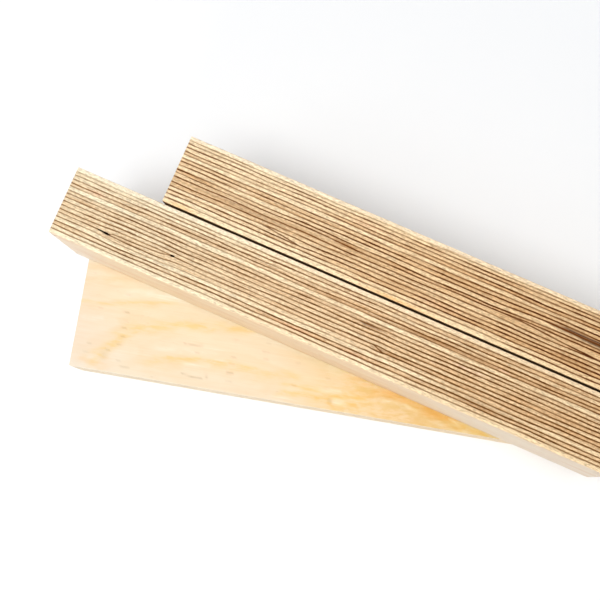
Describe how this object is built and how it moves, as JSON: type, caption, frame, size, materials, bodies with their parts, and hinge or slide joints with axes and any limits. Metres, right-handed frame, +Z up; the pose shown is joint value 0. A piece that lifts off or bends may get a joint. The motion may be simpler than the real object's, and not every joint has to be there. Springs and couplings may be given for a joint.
{
  "type": "stack of laminated veneer lumber",
  "caption": "Short pine laminated veneer lumber beams: one flat on its face veneer, a pair on edge across it with the glued plies showing on top.",
  "frame": {"origin": "centre of the stack's footprint box, on the ground under the bottom beam", "axes": "+X along the upper pair of beams, +Y across them towards the rear beam, +Z up"},
  "size_m": [0.6076, 0.2536, 0.193],
  "materials": {
    "lvl_front": "fine sawn, unfinished, pale plies with thin brown glue lines",
    "lvl_rear": "fine sawn, unfinished, pale brown plies with thin dark brown glue lines",
    "lvl_bottom": "unfinished pale pine face veneer with soft wavy grain"
  },
  "bodies": {
    "root": {"front_beam": "lvl_front", "rear_beam": "lvl_rear", "bottom_beam": "lvl_bottom"}
  },
  "joints": []
}
